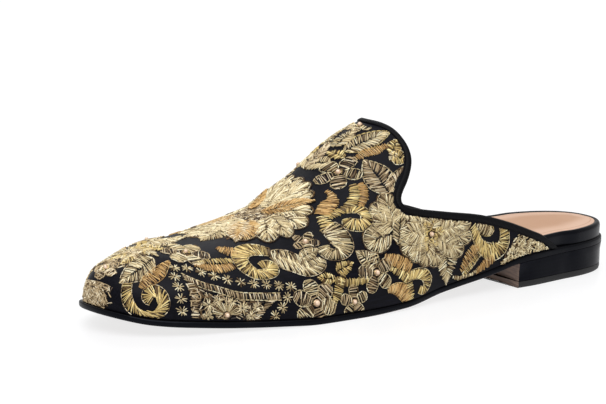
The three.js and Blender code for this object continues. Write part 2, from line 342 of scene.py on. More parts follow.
liningLook = {"shade": colour(176, 140, 118), "light": colour(204, 170, 146), "weave": 1800, "wear": 60}
lining, place = newMaterial("lining", {"Specular IOR Level": .25})
weave, wear = place.noise(liningLook["weave"], 2), place.noise(liningLook["wear"])
dress(lining, {"Base Color": (weave * .4 + wear * .6).mix(liningLook["shade"], liningLook["light"]),
               "Roughness": wear * .15 + .68, "Normal": weave.bump(.3, .0002)})

upperLook = {"stations": 150, "girth": 132, "innerStations": 90, "innerGirth": 84, "skirt": 3, "edge": 1.3}
topline = {  # side view: behind the top of the tongue, then height on the outer and on the inner side
    "tongueTop": 140, "leanAbove": .3, "samples": 700,
    "places": [(-7, 88.5, 88.5), (0, 85.8, 85.8), (4.4, 84.5, 84.5), (7.5, 81.4, 81.4), (8.8, 75, 75),
               (7.4, 68.4, 67.6), (2.4, 61.2, 59.4), (-3.2, 55.2, 53), (-5.2, 51.4, 49), (-3.6, 48.7, 46.4),
               (4, 46.6, 44.2), (22, 43.1, 40), (42, 39.4, 34.6), (60, 33.8, 28.6), (76, 27.4, 23.4),
               (84, 23.9, 20.9), (97, 15, 13.4)],
}


def softLine(points, count):  # even steps along a soft line through the points
    points = np.asarray(points, float)
    padded = np.concatenate([points[:1], points, points[-1:]])
    s = np.linspace(0, len(points) - 1.0001, 24 * len(points))
    i = s.astype(int)
    f = (s - i)[:, None]
    p0, p1, p2, p3 = padded[i], padded[i + 1], padded[i + 2], padded[i + 3]
    fine = p1 + .5 * f * (p2 - p0 + f * (2 * p0 - 5 * p1 + 4 * p2 - p3 + f * (3 * (p1 - p2) + p3 - p0)))
    return alongLine(fine, np.linspace(0, 1, count))


def lineLengths(points):
    return np.concatenate([[0], np.cumsum(np.linalg.norm(np.diff(points, axis=0), axis=1))])


def alongLine(points, shares):
    lengths = lineLengths(points)
    reached = np.asarray(shares) * lengths[-1]
    return np.stack([np.interp(reached, lengths, column) for column in points.T], -1)


def toplineOf(side, inset=0.):  # x and z of the topline, moved into the upper
    back, outer, inner = np.array(topline["places"]).T
    x = xAt(topline["tongueTop"]) + back
    line = softLine(np.stack([x, outer if side == "outer" else inner], -1), topline["samples"])
    along = unit(np.gradient(line, axis=0))
    return line + inset * np.stack([along[:, 1], -along[:, 0]], -1)


def formRings(grow, stations, girth, skirt, shape):
    shares = np.sin(np.arange(stations + 1) / (stations + .16) * math.pi / 2)  # up to just short of the tip
    t = last["tailStart"] + (lastTip + grow - last["tailStart"]) * shares
    rings = shape(t[:, None], np.linspace(0, math.pi, girth + 1)[None, :])
    if skirt:
        drop = np.array([0, 0, skirt])
        rings = np.concatenate([rings[:, :1] - drop, rings, rings[:, -1:] - drop], axis=1)
    back = np.array([xAt(last["tailStart"]), 0, last["instep"] / 2])
    tip = np.array([xAt(lastTip) - grow, 0, soleTop(lastTip) + last["gap"] - skirt / 2])
    return rings, back, tip


def ringQuads(count, around):  # faces from each ring of points to the next
    ring, step = np.meshgrid(np.arange(count - 1) * around, np.arange(around), indexing="ij")
    here, after = ring + step, ring + (step + 1) % around
    return np.stack([here, after, after + around, here + around], -1).reshape(-1, 4)


def loft(rings, firstPoint, finalPoint):  # closed form through rings of points
    count, around = rings.shape[:2]
    points = np.concatenate([rings.reshape(-1, 3), [firstPoint, finalPoint]])
    j = np.arange(around)
    k = (j + 1) % around
    end = (count - 1) * around
    first = np.stack([np.full(around, count * around), k, j], -1)
    final = np.stack([np.full(around, count * around + 1), end + j, end + k], -1)
    return points, ringQuads(count, around).tolist() + first.tolist() + final.tolist()


def scratchObject(name, points, faces, part=0):
    mesh = newMesh(name, points, faces, [satin, lining], np.full(len(faces), part))
    made = bpy.data.objects.new(name, mesh)
    scene.collection.objects.link(made)
    return made


def behindTopline(side):  # everything above and behind the topline on one side
    edge = toplineOf(side, upperLook["edge"])[::6]
    far, lean = last["length"], topline["leanAbove"]
    corners = [(edge[-1][0], -far), (far, -far), (far, far), (edge[0][0] - (far - edge[0][1]) * lean, far)]
    outline = np.concatenate([edge, corners])
    n = len(outline)
    near, away = (.02, -far) if side == "outer" else (0, far)
    points = np.concatenate([np.insert(outline, 1, near, axis=1), np.insert(outline, 1, away, axis=1)])
    faces = [list(range(n)), list(range(2 * n - 1, n - 1, -1))]
    faces += [[i, n + i, n + (i + 1) % n, (i + 1) % n] for i in range(n)]
    if side == "outer":
        faces = [face[::-1] for face in faces]
    return scratchObject("behind_" + side, points, faces)


outerRings = formRings(0, upperLook["stations"], upperLook["girth"], 0, lambda t, a: skinAt(t, a)[0])
innerRings = formRings(-last["wall"], upperLook["innerStations"], upperLook["innerGirth"],
                       upperLook["skirt"], lambda t, a: lastPoint(t, a, -last["wall"]))
outerPoints, outerFaces = loft(*outerRings)
innerPoints, innerFaces = loft(*innerRings)
outerTree = BVHTree.FromPolygons(outerPoints.tolist(), outerFaces)
innerTree = BVHTree.FromPolygons(innerPoints.tolist(), innerFaces)
body = scratchObject("upper_body", outerPoints, outerFaces)
cutters = [scratchObject("upper_inside", innerPoints, innerFaces, 1)]
cutters += [behindTopline(side) for side in bothSides]
for cutter in cutters:
    cut = body.modifiers.new(cutter.name, "BOOLEAN")
    cut.operation, cut.solver, cut.object = "DIFFERENCE", "EXACT", cutter
upperMesh = bpy.data.meshes.new_from_object(body.evaluated_get(bpy.context.evaluated_depsgraph_get()))
for scratch in [body] + cutters:
    bpy.data.objects.remove(scratch)
upperMesh.name = "satin_upper"
placePiece(upperMesh, ["upper"], 35)


# binding: a band folded over the topline from one tail to the other
bindingLook = {"dark": colour(3, 3, 5), "light": colour(10, 10, 14), "rib": .9, "lint": 900,
               "samples": 260, "width": 3, "middle": (0, 0, 20), "softened": 3}
bindingProfile = [  # into the upper from the topline, and off the skin; past the fold, off the lining
    ("outer", 3, .05), ("outer", 2.95, .45), ("outer", 2.6, .7), ("outer", 1.8, .82), ("outer", 1, .8),
    ("outer", .25, .66), ("fold", -.35, -.2), ("fold", -.6, -.9), ("fold", -.35, -1.6),
    ("inner", .2, .5), ("inner", .6, .55), ("inner", .9, .5), ("inner", 1.2, .35), ("inner", 1.35, .15),
    ("inner", 1.4, .0),
]
binding, place = newMaterial("binding", {"Specular IOR Level": .09})
ribs = place.value("along").wave(bindingLook["rib"]) * .5 + .5
lint = place.noise(bindingLook["lint"], 3)
dress(binding, {"Base Color": (ribs * .35 + lint * .5).mix(bindingLook["dark"], bindingLook["light"]),
                "Roughness": lint * .2 + .42, "Normal": (ribs * .6 + lint * .4).bump(.35, .0003)})


def toplineOnSkin(side):  # t and angle where the topline meets the skin, from the tail up to the ridge
    line = toplineOf(side)[::-1]
    t, z = xAt(line[:, 0]), line[:, 1]
    rise = last["instep"] * section("crown", t) - soleTop(t)
    up = (z - soleTop(t) - last["gap"]) / rise
    on = (up > .004) & (up < .9995)
    angle = np.arcsin(np.clip(up[on], 0, 1) ** (section("full", t[on]) / 2))
    return t[on], angle if side == "outer" else math.pi - angle


def nearestOn(tree, points):
    found = [tree.find_nearest(Vector(p)) for p in points]
    return np.array([tuple(f[0]) for f in found]), np.array([tuple(f[1]) for f in found])


outerT, outerAngle = toplineOnSkin("outer")
innerT, innerAngle = toplineOnSkin("inner")
edgeLine = np.concatenate([skinAt(outerT, outerAngle)[0], skinAt(innerT, innerAngle)[0][::-1]])
edgeLine = alongLine(edgeLine, np.linspace(0, 1, bindingLook["samples"]))
for _ in range(bindingLook["softened"]):  # the two halves meet softly over the tongue
    edgeLine[1:-1] = (edgeLine[:-2] + 2 * edgeLine[1:-1] + edgeLine[2:]) / 4
edgeAlong = unit(np.gradient(edgeLine, axis=0))
edgeOut = nearestOn(outerTree, edgeLine)[1]
inwards = (edgeOut * (edgeLine - bindingLook["middle"])).sum(-1, keepdims=True) < 0
edgeOut = unit(np.where(inwards, -edgeOut, edgeOut))
edgeInto = unit(np.cross(edgeOut, edgeAlong))
if edgeInto[len(edgeInto) // 8, 2] > 0:  # into the upper is downwards
    edgeInto = -edgeInto
bindingRows = []
for where, into, off in bindingProfile:
    flat = edgeLine + into * edgeInto
    if where == "fold":
        bindingRows.append(flat + off * edgeOut)
        continue
    tree = outerTree if where == "outer" else innerTree
    spot = nearestOn(tree, flat if where == "outer" else flat - last["wall"] * edgeOut)[0]
    bindingRows.append(spot + off * edgeOut * (1 if where == "outer" else -1))
bindingRings = np.stack(bindingRows, 1)
bindingPoints, bindingFaces = loft(bindingRings, bindingRings[0].mean(0), bindingRings[-1].mean(0))
bindingAlong = np.repeat(lineLengths(edgeLine), len(bindingProfile))
addPiece("binding_band", bindingPoints, bindingFaces, [binding], ["topline_binding"],
         values={"along": np.append(bindingAlong, [0, bindingAlong[-1]])}, sharp=60)


# flat pieces of the bottom: rows of edge lines from the top down
def edgeStations(grow, front=None, count=150):  # close together at both ends
    shares = (1 - np.cos(math.pi * (np.arange(count + 1) + .25) / (count + .5))) / 2
    start = last["heelMargin"] - grow(0)
    stop = lastTip + grow(last["length"]) if front is None else front
    return start + (stop - start) * shares


def edgeRing(grow, height):  # outer edge to the toe, then back along the inner edge
    t = edgeStations(grow)
    x, z = xAt(t), height(t)
    outer = np.stack([x, -halfWidth("lateral", t, grow(t)), z], -1)
    inner = np.stack([x, halfWidth("medial", t, grow(t)), z], -1)
    return np.concatenate([outer, inner[::-1]])


def stack(rings):  # closed form through edge lines, its top and underside filled across
    rings = np.asarray(rings)
    rows, around = rings.shape[:2]
    sides = ringQuads(rows, around).tolist()
    half = around // 2
    top = [[j + 1, j, around - 1 - j, around - 2 - j] for j in range(half - 1)]
    low = [[(rows - 1) * around + k for k in face[::-1]] for face in top]
    return rings.reshape(-1, 3), sides + top + low, len(sides), len(top)


# outsole: black edge with a bare line along its foot, brown leather underneath
soleLook = {"black": colour(4, 4, 6), "scuff": colour(12, 11, 13), "bare": colour(84, 52, 38),
            "brown": colour(82, 56, 40), "dark": colour(54, 36, 26), "scuffs": 220, "grain": 1100,
            "stains": 25, "archStarts": (.24, .27), "archEnds": (.5, .7), "flush": .08, "heelFront": (71, 76)}
soleEdge = [  # inset from the widest line, and depth as a share of the thickness
    (1.1, 0), (.45, .05), (.1, .17), (0, .33), (0, .68), (.12, .85), (.35, .95), (.7, 1), (2.2, 1.0003)]
soleBlack, place = newMaterial("sole_edge", {"Specular IOR Level": .1, "Specular Tint": blueGloss})
scuffs = place.noise(soleLook["scuffs"], 4)
forward = place.value("forward")
underArch = forward.between(*soleLook["archStarts"]) * (1 - forward.between(*soleLook["archEnds"]))
bare = (place.value("depth") + scuffs * .06).between(.93, .98) * underArch
edgeColour = scuffs.between(.5, .8).mix(soleLook["black"], soleLook["scuff"])
dress(soleBlack, {"Base Color": bare.mix(edgeColour, soleLook["bare"]),
                  "Roughness": scuffs * .25 + bare * .2 + .22, "Normal": scuffs.bump(.15, .0003)})
soleBrown, place = newMaterial("sole_leather", {"Specular IOR Level": .35})
grain, stains = place.noise(soleLook["grain"], 4, .6), place.noise(soleLook["stains"], 4)
browned = (grain * .35 + stains * .65).between(.3, .7)
dress(soleBrown, {"Base Color": browned.mix(soleLook["dark"], soleLook["brown"]),
                  "Roughness": stains * .2 + .5, "Normal": grain.bump(.3, .0003)})


def insetShare(t, depth):  # the foot of the edge is nearly flush with the heel behind its front
    if depth < .5:
        return 1
    return soleLook["flush"] + (1 - soleLook["flush"]) * smoothStep(t, *soleLook["heelFront"])


soleRings = [edgeRing(lambda t, inset=inset, depth=depth: section("welt", t) - inset * insetShare(t, depth),
                      lambda t, depth=depth: soleTop(t) - depth * last["sole"]) for inset, depth in soleEdge]
points, faces, sideCount, capCount = stack(soleRings)
depths = np.repeat([depth for inset, depth in soleEdge], len(soleRings[0]))
parts = [0] * (sideCount + capCount) + [1] * capCount
addPiece("leather_outsole", points, faces, [soleBlack, soleBrown], ["outsole"], parts,
         {"depth": depths, "forward": .5 - points[:, 0] / last["length"]})

# footbed rim: black leather drawn over the edge of the board
rimLook = {"black": colour(4, 4, 7), "worn": colour(12, 12, 18), "grain": 1400, "wear": 45,
           "covered": (.178, .19), "inset": .4, "drawnIn": (16, 3)}
rimEdge = [  # inset from the board's edge, and depth under its top; none is its underside
    (4.4, .5), (2.5, .5), (2.2, .32), (1.75, .04), (1.3, 0), (.8, .18), (.4, .6), (.12, 1.2), (0, 2),
    (.05, 3), (.25, None)]
rimBlack, place = newMaterial("rim_leather", {
    "Specular IOR Level": .1, "Specular Tint": blueGloss, "Coat Roughness": .2})
grain, wear = place.noise(rimLook["grain"], 3, .6), place.noise(rimLook["wear"], 3)
covered = place.value("forward").between(*rimLook["covered"])  # tan inside the upper
polish = wear.between(.55, .85).mix(rimLook["black"], rimLook["worn"])
dress(rimBlack, {"Base Color": covered.mix(polish, liningLook["shade"]),
                 "Roughness": wear * .2 + covered * .4 + .2, "Coat Weight": wear * .1,
                 "Normal": grain.bump(.12, .0002)})


def boardInset(t):  # the board draws in ahead of the tails, to fit between the walls
    inside = smoothStep(t, *(last["tailEnd"] - before for before in rimLook["drawnIn"]))
    return rimLook["inset"] + (last["wall"] + last["gap"] - rimLook["inset"]) * inside


def rimHeight(t, depth):
    return soleTop(t) + last["gap"] if depth is None else boardTop(t) - depth


rimRings = [edgeRing(lambda t, inset=inset: -boardInset(t) - inset,
                     lambda t, depth=depth: rimHeight(t, depth)) for inset, depth in rimEdge]
points, faces, *_ = stack(rimRings)
addPiece("footbed_rim", points, faces, [rimBlack], ["insole_board"],
         values={"forward": .5 - points[:, 0] / last["length"]})

# sock: tan leather, pale along its edge as painted highlight and with painted shade in a groove near it, a
# little sunk between the rims
sockLook = {"tan": colour(196, 162, 139), "deep": colour(172, 133, 104), "pale": colour(218, 194, 172),
            "grain": 1300, "cloud": 28, "pores": 4200, "highlitEdge": (.2, 1.1), "shadedGroove": (3.4, 3.9, 4.4),
            "trodden": (5, 17), "inset": 2.25, "sink": .34, "rows": 14, "crown": .5, "crownOver": 16,
            "roundedOff": .55, "roundedOver": .6, "under": 1.5}
sockLeather, place = newMaterial("sock_leather", {"Specular IOR Level": .4})
grain, tone = place.noise(sockLook["grain"], 4, .6), place.noise(sockLook["cloud"], 3)
pores = place.noise(sockLook["pores"], 2)
fromEdge = place.value("fromEdge")
# painted highlight: the leather turns pale within about a millimetre of its edge
edgeGlow = 1 - fromEdge.between(*sockLook["highlitEdge"])
# painted shade: a groove about 4 mm in from the edge is darker in colour as well as dented
low, deepest, high = sockLook["shadedGroove"]
shadedGroove = fromEdge.between(low, deepest) * (1 - fromEdge.between(deepest, high))
trodden = (fromEdge.between(*sockLook["trodden"]) * .55 + tone * .6 + grain * .2).between(.35, 1.05)
sockBase = trodden.mix(sockLook["tan"], sockLook["deep"])
dress(sockLeather, {"Base Color": edgeGlow.mix(shadedGroove.mix(sockBase, sockLook["deep"]), sockLook["pale"]),
                    "Roughness": tone * .15 + pores * .1 + .42,
                    "Normal": (grain * .6 + pores * .3 - shadedGroove * .8).bump(.3, .0003)})


def sockInset(t):
    return -boardInset(t) - sockLook["inset"]


sockT = edgeStations(sockInset)
across = np.linspace(-1, 1, 2 * sockLook["rows"] + 1)
sockHalf = np.where(across[None, :] < 0, halfWidth("lateral", sockT, sockInset(sockT))[:, None],
                    halfWidth("medial", sockT, sockInset(sockT))[:, None])
spread = np.sign(across) * np.abs(across) ** .8  # closer together towards the edges
sockY = sockHalf * spread[None, :]
sockX = np.repeat(xAt(sockT)[:, None], len(across), axis=1)
edgeDistance = np.minimum(sockHalf * (1 - np.abs(spread))[None, :], (sockT[:, None] - sockT[0]) * 2 + .01)
sockZ = (boardTop(sockT) - sockLook["sink"])[:, None]
sockZ = sockZ - sockLook["roundedOff"] * (1 - smoothStep(edgeDistance, 0, sockLook["roundedOver"]))
sockZ = sockZ + sockLook["crown"] * smoothStep(edgeDistance, 0, sockLook["crownOver"])
sockTop = np.stack([sockX, sockY, sockZ], -1)
sockLow = sockTop.copy()
sockLow[..., 2] = (boardTop(sockT) - sockLook["under"])[:, None]
count, wide = sockTop.shape[:2]
grid = np.arange(count * wide).reshape(count, wide)
topFaces = np.stack([grid[:-1, :-1], grid[1:, :-1], grid[1:, 1:], grid[:-1, 1:]], -1).reshape(-1, 4)
lowFaces = topFaces[:, ::-1] + count * wide
rim = np.concatenate([grid[:, 0], grid[-1, 1:], grid[::-1, -1][1:], grid[0, ::-1][1:-1]])
after = np.roll(rim, -1)
wallFaces = np.stack([rim, rim + count * wide, after + count * wide, after], -1)
addPiece("leather_sock", np.concatenate([sockTop.reshape(-1, 3), sockLow.reshape(-1, 3)]),
         np.concatenate([topFaces, lowFaces, wallFaces]).tolist(), [sockLeather],
         ["insole_sock"], values={"fromEdge": np.tile(edgeDistance.ravel(), 2)}, sharp=50)

# heel: polished black sides, a brown curved front, and the wearing layer under it
heelLook = {"corner": 73, "breast": 2.5, "topPiece": 3.2, "joint": .3, "taper": .8, "flush": .3,
            "black": colour(4, 4, 8), "sheenBlue": colour(11, 13, 22), "cloud": 38, "fine": 1000, "layer": 2.1,
            "brown": colour(84, 64, 54), "tan": colour(122, 98, 84), "streaks": (120, 120, 900),
            "rubber": colour(7, 7, 9), "rubberWorn": colour(17, 17, 19), "grit": 1500,
            "backSteps": 70, "frontSteps": 14, "meet": .999}
heelBlack, place = newMaterial("heel_polish", {
    "Specular IOR Level": .06, "Specular Tint": blueGloss, "Coat Roughness": .1,
    "Coat Tint": (.8, .86, 1, 1)})
cloud, fine = place.noise(heelLook["cloud"], 3), place.noise(heelLook["fine"], 3)
layers = place.value("height").wave(heelLook["layer"]).between(.75, 1)
# painted bluish sheen: the polished black turns lighter and bluer in soft clouds and faintly along the stack
# layers
bluishSheen = cloud.between(.5, .8) * .6 + layers * .25
dress(heelBlack, {"Base Color": bluishSheen.mix(heelLook["black"], heelLook["sheenBlue"]),
                  "Roughness": cloud * .16 + fine * .06 + .14, "Coat Weight": cloud.between(.45, .75) * .15,
                  "Normal": (fine * .25 - layers * .5 + cloud * .5).bump(.12, .0004)})
breastBrown, place = newMaterial("heel_breast", {"Specular IOR Level": .4})
streak = place.stretch(heelLook["streaks"]).noise(1, 4)
dress(breastBrown, {"Base Color": streak.between(.3, .7).mix(heelLook["brown"], heelLook["tan"]),
                    "Roughness": streak * .2 + .4, "Normal": streak.bump(.25, .0003)})
rubber, place = newMaterial("top_piece_rubber", {"Specular IOR Level": .35})
grit = place.noise(heelLook["grit"], 3)
dress(rubber, {"Base Color": grit.between(.5, .8).mix(heelLook["rubber"], heelLook["rubberWorn"]),
               "Roughness": grit * .2 + .45, "Normal": grit.bump(.25, .0003)})


def ground(t):
    return 0 * t


def heelRing(grow, level, raised):  # around the back from corner to corner, then along the curved front
    t = edgeStations(lambda _: grow, heelLook["corner"], heelLook["backSteps"])
    outer, inner = halfWidth("lateral", t, grow), halfWidth("medial", t, grow)
    bow = np.linspace(0, 1, heelLook["frontSteps"])[1:]
    chord = (outer[-1] + inner[-1]) / 2
    inwards = chord * bow * heelLook["meet"]
    frontT = heelLook["corner"] - heelLook["breast"] * (1 - (1 - bow) ** 2)
    outerY = np.concatenate([-outer, -outer[-1] + inwards])
    innerY = np.concatenate([inner, inner[-1] - inwards])
    t = np.concatenate([t, frontT])
    x, z = xAt(t), level(t) + raised
    ring = np.concatenate([np.stack([x, outerY, z], -1), np.stack([x, innerY, z], -1)[::-1]])
    return ring, len(outer)


def heelPart(name, rows, materials, replaced):
    made = [heelRing(*row) for row in rows]
    rings, back = [ring for ring, count in made], made[0][1]
    points, faces, sideCount, capCount = stack(rings)
    around = len(rings[0])
    front = [min(j, around - 2 - j) >= back - 1 for j in range(around)]
    parts = [int(front[i % around]) for i in range(sideCount)] + [0] * 2 * capCount
    height = points[:, 2] - points[:, 2].min()
    addPiece(name, points, faces, materials, replaced, parts, {"height": height}, 35)


heelFoot = heelLook["topPiece"] + heelLook["joint"]
flush, drawn, foot = heelLook["flush"], heelLook["flush"] - heelLook["taper"], -heelLook["taper"]
heelPart("polished_heel", [
    (flush - .2, soleUnder, -.12), (flush - .05, soleUnder, -.16), (flush, soleUnder, -.3),
    (flush - .55, soleUnder, -4.2), (drawn + .1, ground, heelFoot + .5), (drawn, ground, heelFoot - .08),
    (drawn - .12, ground, heelFoot - .14)], [heelBlack, breastBrown], ["heel_block"])
heelPart("heel_top_piece_rubber", [
    (drawn - .12, ground, heelLook["topPiece"]), (drawn, ground, heelLook["topPiece"] - .06),
    (drawn, ground, 1.4), (foot, ground, .35), (foot - .35, ground, 0)],
    [rubber, breastBrown], ["heel_top_piece"])


# embroidery: every stitch is a small closed strand laid on the skin
threadLooks = {  # dark, middle and bright strands
    "pale": (colour(100, 76, 42), colour(208, 189, 145), colour(255, 247, 214)),
    "yellow": (colour(96, 70, 32), colour(210, 183, 116), colour(255, 240, 180)),
    "copper": (colour(124, 88, 44), colour(198, 158, 96), colour(236, 206, 148)),
    "tan": (colour(90, 69, 40), colour(190, 167, 128), colour(248, 236, 206)),
    # shadow: dark strands laid between and under the bright ones, painted shade in the gaps
    "shadow": (colour(30, 20, 8), colour(62, 43, 18), colour(98, 71, 33)),
}
work = {"pitch": .82, "finePitch": .52, "strand": .5, "ragged": .5, "sway": .1, "longest": 6.5, "pad": .45,
        "underPitch": .95, "underStrand": 1.05, "underPad": .04, "underShare": .14, "ribbed": 11.5,
        "couched": .42, "couchStep": 2.2, "lowPad": .3, "rays": 10, "sunk": .22, "crown": .32,
        "tipDepth": .25, "twist": 2600, "jitter": (.1, .9), "raggedStart": (-.6, 1), "raggedEnd": (-1, .8),
        "cut": (.3, .7), "cutAside": .25, "arch": (0, .75, 1, .75, 0), "thickness": (.8, 1.2),
        "uneven": (-.08, .12), "shade": (.52, .28)}
stitches = []  # chart, ends on the chart, thread, strand width, padding
beadSpots = []  # chart, place, radius


def directions(turns):
    return np.stack([np.cos(turns), np.sin(turns)], -1)


def sideways(ways):  # a quarter turn
    return np.stack([-ways[..., 1], ways[..., 0]], -1)


def axis(root, tip):  # the root, the way to the tip, and a step aside
    root = np.array(root, float)
    way = np.array(tip, float) - root
    return root, way, sideways(way) / np.linalg.norm(way)


def addStitches(chart, starts, ends, thread, strand=work["strand"], pad=work["pad"]):
    stitches.append((chart, np.stack([np.atleast_2d(starts), np.atleast_2d(ends)], 1), thread, strand, pad))


def sew(chart, start, end, thread, pitch, lean, strand, pad):  # stitches from line to line
    length = max(lineLengths(start)[-1], lineLengths(end)[-1])
    count = max(3, int(length / pitch))
    share = (np.arange(count) + seeded.uniform(*work["jitter"], count)) / count
    a, b = alongLine(start, share), alongLine(end, np.clip(share + lean, 0, 1))
    reach = b - a
    sway = sideways(reach) * seeded.normal(0, work["sway"], (count, 1)) / 2
    way = unit(reach)
    a = a - sway - way * seeded.uniform(*work["raggedStart"], (count, 1)) * work["ragged"]
    b = b + sway + way * seeded.uniform(*work["raggedEnd"], (count, 1)) * work["ragged"]
    far = np.linalg.norm(b - a, axis=1) > work["longest"]  # these are sewn in two
    cut = a + (b - a) * seeded.uniform(*work["cut"], (count, 1))
    aside = sideways(way) * seeded.normal(0, work["cutAside"], (count, 1))
    addStitches(chart, np.concatenate([a[~far], a[far], (cut - way + aside)[far]]),
                np.concatenate([b[~far], (cut + way - aside)[far], b[far]]), thread, strand, pad)


def ladder(chart, start, end, thread, pitch=work["pitch"], lean=0., lift=0.):  # bright strands over a layer of shadow strands: painted shade in the gaps
    across = (end - start) * work["underShare"]
    sew(chart, start + across, end - across, "shadow", work["underPitch"], lean, work["underStrand"],
        work["underPad"] + lift)
    strand = work["strand"]
    if thread == "copper":  # the copper shapes are sewn close and fine
        pitch, strand = work["finePitch"], strand * .8
    sew(chart, start, end, thread, pitch, lean, strand, work["pad"] + lift)


def couch(chart, line, thread, strand=work["couched"]):  # a strand laid along a line
    count = max(2, int(lineLengths(line)[-1] / work["couchStep"]))
    spots = alongLine(line, np.linspace(0, 1, count + 1))
    addStitches(chart, spots[:-1], spots[1:], thread, strand, work["lowPad"])


def band(chart, thread, edge, spots, pitch=work["pitch"]):  # places along it, each with its width
    line = softLine(spots, 70)
    along = unit(np.gradient(line[:, :2], axis=0))
    aside = sideways(along) * line[:, 2:] / 2
    rib = line[:, :2]
    if thread == "pale" and line[:, 2].max() > work["ribbed"]:  # a wide pale band is sewn off a rib
        for side in (1, -1):
            ladder(chart, rib - aside * .2 * side, rib + aside * side, thread, pitch, .05)
    else:
        ladder(chart, rib + aside, rib - aside, thread, pitch)
    if edge:
        couch(chart, rib + aside, edge)
        couch(chart, rib - aside, edge)


def leaf(chart, thread, edge, root, tip, width, bend=0., lift=0.):  # slanted stitches off a rib
    root, way, aside = axis(root, tip)
    s = np.linspace(0, 1, 50)[:, None]
    rib = root + way * s + aside * bend * np.sin(math.pi * s)
    half = width / 2 * np.sin(math.pi * s ** .75) ** .8
    for side in (1, -1):
        outline = rib + aside * half * side
        ladder(chart, rib + aside * .15 * side, outline, thread, work["pitch"], .14, lift)
        if edge:
            couch(chart, outline, edge)


def petal(chart, thread, heart, tip, width, lift=0.):  # stitches fan off a rib, with a line of shadow strands round them as painted shade between the petals
    heart, way, aside = axis(heart, tip)
    turn = np.linspace(-2.5, 2.5, 70)[:, None]
    rim = heart + way * (.6 + .4 * np.cos(turn)) + aside * width / 2 * np.sin(turn)
    rib = heart + way * (.46 + .3 * np.cos(turn)) + aside * width * .03 * np.sin(turn)
    couch(chart, rim + (rim - rib) * .08, "shadow", .9)
    ladder(chart, rib, rim, thread, work["pitch"], 0, lift)
    couch(chart, rim, "pale")


petalShape = ((.2, .3), (.5, .64), (.82, .64), (1.02, .22))  # how far out and how wide, for a radius of 1


def flower(chart, threads, edge, heart, radius, petals, turn, bead):  # ribbed petals round a bead
    heart = np.array(heart, float)
    for i in range(petals):
        way = math.radians(turn + 360 / petals * i)
        way = np.array([math.cos(way), math.sin(way)]) * radius
        spots = [(*(heart + way * far), radius * wide) for far, wide in petalShape]
        band(chart, threads[i % len(threads)], edge, spots, 1.1)
    for side in (1, -1):  # a small yellow heart under the bead
        petal(chart, "yellow", heart - [.6 * side, 0], heart + [1.8 * side, 0], 3.4)
    beadSpots.append((chart, heart, bead))


def star(chart, heart, radius):
    count = work["rays"]
    rays = directions((np.arange(count) + seeded.uniform(-.3, .3, count)) * 2 * math.pi / count)
    tips = heart + rays * radius * seeded.uniform(.8, 1.1, (count, 1))
    addStitches(chart, heart + rays * .25, tips, "pale", pad=work["lowPad"])


def insideOutline(points, outline):
    x, y = points[:, 0], points[:, 1]
    inside = np.zeros(len(points), bool)
    for (x0, y0), (x1, y1) in zip(outline, np.roll(outline, -1, axis=0)):
        crosses = (y0 > y) != (y1 > y)
        inside ^= crosses & (x < (x1 - x0) * (y - y0) / (y1 - y0 + 1e-12) + x0)
    return inside


def patch(chart, thread, outline, density, length, strand=work["strand"], pad=work["pad"]):
    outline = np.array(outline, float)  # filled with stitches in all directions
    low, high = outline.min(0), outline.max(0)
    spots = seeded.uniform(low, high, (int(np.prod(high - low) * density), 2))
    spots = spots[insideOutline(spots, outline)]
    turns = seeded.uniform(0, math.pi, len(spots))
    reach = directions(turns) * length / 2
    reach = reach * seeded.uniform(.6, 1.1, (len(spots), 1))
    kept = insideOutline(spots - reach, outline) & insideOutline(spots + reach, outline)
    addStitches(chart, (spots - reach)[kept], (spots + reach)[kept], thread, strand, pad)


def shadowUnderlay(chart, outline, density, length):
    patch(chart, "shadow", outline, density, length, work["underStrand"], work["underPad"])


